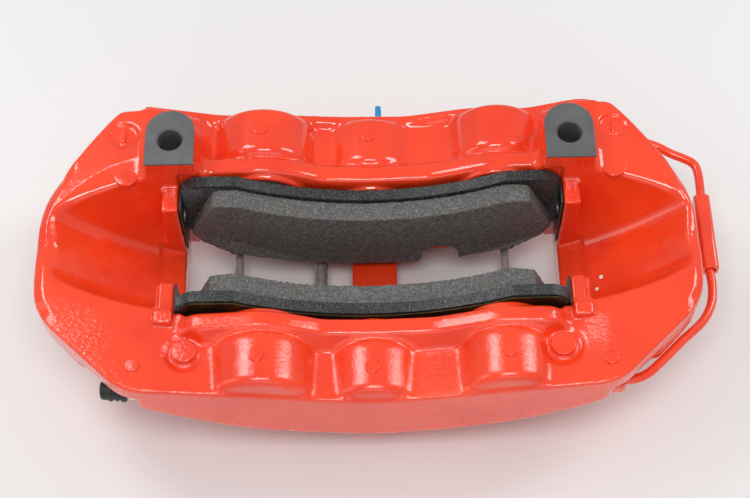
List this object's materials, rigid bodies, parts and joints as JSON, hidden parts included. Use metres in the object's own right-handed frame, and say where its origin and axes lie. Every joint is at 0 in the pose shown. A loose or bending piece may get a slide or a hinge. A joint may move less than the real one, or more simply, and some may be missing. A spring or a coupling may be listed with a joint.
{
  "type": "brake caliper",
  "caption": "Red six-piston fixed brake caliper with radial mounting ears, two pads on pins, a crossover pipe at one end and capped bleed screws at the other.",
  "frame": {"origin": "under the middle of the part's box, on the surface that the caliper rests on, bridge side down", "axes": "+X along the caliper's length towards the crossover pipe, +Y along the disc axis towards the inboard side with the mounting ears, +Z towards the disc's centre"},
  "size_m": [0.3448, 0.185, 0.1015],
  "materials": {
    "red_paint": "high-gloss red paint over cast aluminium, with the casting's grain showing through",
    "piston_aluminium": "hard-anodised, fine-turned",
    "seal_rubber": "smooth black rubber",
    "boot_rubber": "matt black rubber",
    "black_plate_paint": "satin black powder coat with light specks",
    "friction_compound": "matt grey moulded friction compound with bright and dark grains",
    "shim_brass": "thin coated shim with a brass-coloured edge",
    "zinc_plated_steel": "olive zinc plating",
    "dark_steel": "dark spring steel",
    "bright_steel": "ground bright steel",
    "grey_steel": "dull grey plated steel",
    "cap_rubber": "satin black moulded rubber",
    "blue_plastic": "thin blue moulded plastic"
  },
  "bodies": {
    "caliper": {"caliper_body": "red_paint", "crossover_pipe": "red_paint", "pipe_sleeve": "red_paint", "flare_nut_outboard": "red_paint", "flare_nut_inboard": "red_paint", "piston_seal_outboard_large": "seal_rubber", "piston_seal_outboard_small": "seal_rubber", "piston_seal_outboard_middle": "seal_rubber", "piston_seal_inboard_large": "seal_rubber", "piston_seal_inboard_small": "seal_rubber", "piston_seal_inboard_middle": "seal_rubber", "dust_boot_outboard_large": "boot_rubber", "dust_boot_outboard_small": "boot_rubber", "dust_boot_outboard_middle": "boot_rubber", "dust_boot_inboard_large": "boot_rubber", "dust_boot_inboard_small": "boot_rubber", "dust_boot_inboard_middle": "boot_rubber", "pad_spring_outboard": "zinc_plated_steel", "pad_spring_inboard": "zinc_plated_steel", "wear_plate_outboard_left": "dark_steel", "wear_plate_outboard_right": "dark_steel", "wear_plate_inboard_left": "dark_steel", "wear_plate_inboard_right": "dark_steel", "wear_plate_screw_outboard_left": "dark_steel", "wear_plate_screw_outboard_right": "dark_steel", "wear_plate_screw_inboard_left": "dark_steel", "wear_plate_screw_inboard_right": "dark_steel", "pad_pin_left": "bright_steel", "pad_pin_right": "bright_steel", "pin_clip_left": "bright_steel", "pin_clip_right": "bright_steel", "stay_bolt": "bright_steel", "stay_nut": "bright_steel"},
    "outboard_pad": {"backing_plate_outboard": "black_plate_paint", "lining_outboard": "friction_compound", "shim_outboard": "shim_brass"},
    "inboard_pad": {"backing_plate_inboard": "black_plate_paint", "lining_inboard": "friction_compound", "shim_inboard": "shim_brass"},
    "outboard_large_piston": {"piston_outboard_large": "piston_aluminium"},
    "outboard_small_piston": {"piston_outboard_small": "piston_aluminium"},
    "outboard_middle_piston": {"piston_outboard_middle": "piston_aluminium"},
    "inboard_large_piston": {"piston_inboard_large": "piston_aluminium"},
    "inboard_small_piston": {"piston_inboard_small": "piston_aluminium"},
    "inboard_middle_piston": {"piston_inboard_middle": "piston_aluminium"},
    "outboard_bleed_screw": {"bleed_screw_outboard": "grey_steel"},
    "inboard_bleed_screw": {"bleed_screw_inboard": "grey_steel"},
    "outboard_bleed_cap": {"bleed_cap_outboard": "cap_rubber"},
    "inboard_bleed_cap": {"bleed_cap_inboard": "cap_rubber"},
    "inlet_transit_plug": {"inlet_plug": "blue_plastic"}
  },
  "joints": [
    {"name": "outboard_pad_slide", "type": "slide", "parent": "caliper", "child": "outboard_pad", "axis": [0, 1, 0], "range_m": [0, 0.011]},
    {"name": "inboard_pad_slide", "type": "slide", "parent": "caliper", "child": "inboard_pad", "axis": [0, -1, 0], "range_m": [0, 0.011]},
    {"name": "outboard_large_piston_slide", "type": "slide", "parent": "caliper", "child": "outboard_large_piston", "axis": [0, 1, 0], "range_m": [0, 0.011]},
    {"name": "outboard_small_piston_slide", "type": "slide", "parent": "caliper", "child": "outboard_small_piston", "axis": [0, 1, 0], "range_m": [0, 0.011]},
    {"name": "outboard_middle_piston_slide", "type": "slide", "parent": "caliper", "child": "outboard_middle_piston", "axis": [0, 1, 0], "range_m": [0, 0.011]},
    {"name": "inboard_large_piston_slide", "type": "slide", "parent": "caliper", "child": "inboard_large_piston", "axis": [0, -1, 0], "range_m": [0, 0.011]},
    {"name": "inboard_small_piston_slide", "type": "slide", "parent": "caliper", "child": "inboard_small_piston", "axis": [0, -1, 0], "range_m": [0, 0.011]},
    {"name": "inboard_middle_piston_slide", "type": "slide", "parent": "caliper", "child": "inboard_middle_piston", "axis": [0, -1, 0], "range_m": [0, 0.011]},
    {"name": "outboard_bleed_turn", "type": "hinge", "parent": "caliper", "child": "outboard_bleed_screw", "pos_m": [-0.1218, -0.0805, 0.06], "axis": [-1, 0, 0], "range_deg": [0, 180]},
    {"name": "inboard_bleed_turn", "type": "hinge", "parent": "caliper", "child": "inboard_bleed_screw", "pos_m": [-0.1318, 0.0595, 0.06], "axis": [-1, 0, 0], "range_deg": [0, 180]},
    {"name": "outboard_cap_pull", "type": "slide", "parent": "outboard_bleed_screw", "child": "outboard_bleed_cap", "axis": [-1, 0, 0], "range_m": [0, 0.014]},
    {"name": "inboard_cap_pull", "type": "slide", "parent": "inboard_bleed_screw", "child": "inboard_bleed_cap", "axis": [-1, 0, 0], "range_m": [0, 0.014]},
    {"name": "inlet_plug_pull", "type": "slide", "parent": "caliper", "child": "inlet_transit_plug", "axis": [0, 1, 0], "range_m": [0, 0.01]}
  ],
  "couplings": [
    {"joint": "outboard_large_piston_slide", "follows": "outboard_pad_slide", "ratio": 1},
    {"joint": "outboard_small_piston_slide", "follows": "outboard_pad_slide", "ratio": 1},
    {"joint": "outboard_middle_piston_slide", "follows": "outboard_pad_slide", "ratio": 1},
    {"joint": "inboard_large_piston_slide", "follows": "inboard_pad_slide", "ratio": 1},
    {"joint": "inboard_small_piston_slide", "follows": "inboard_pad_slide", "ratio": 1},
    {"joint": "inboard_middle_piston_slide", "follows": "inboard_pad_slide", "ratio": 1}
  ]
}
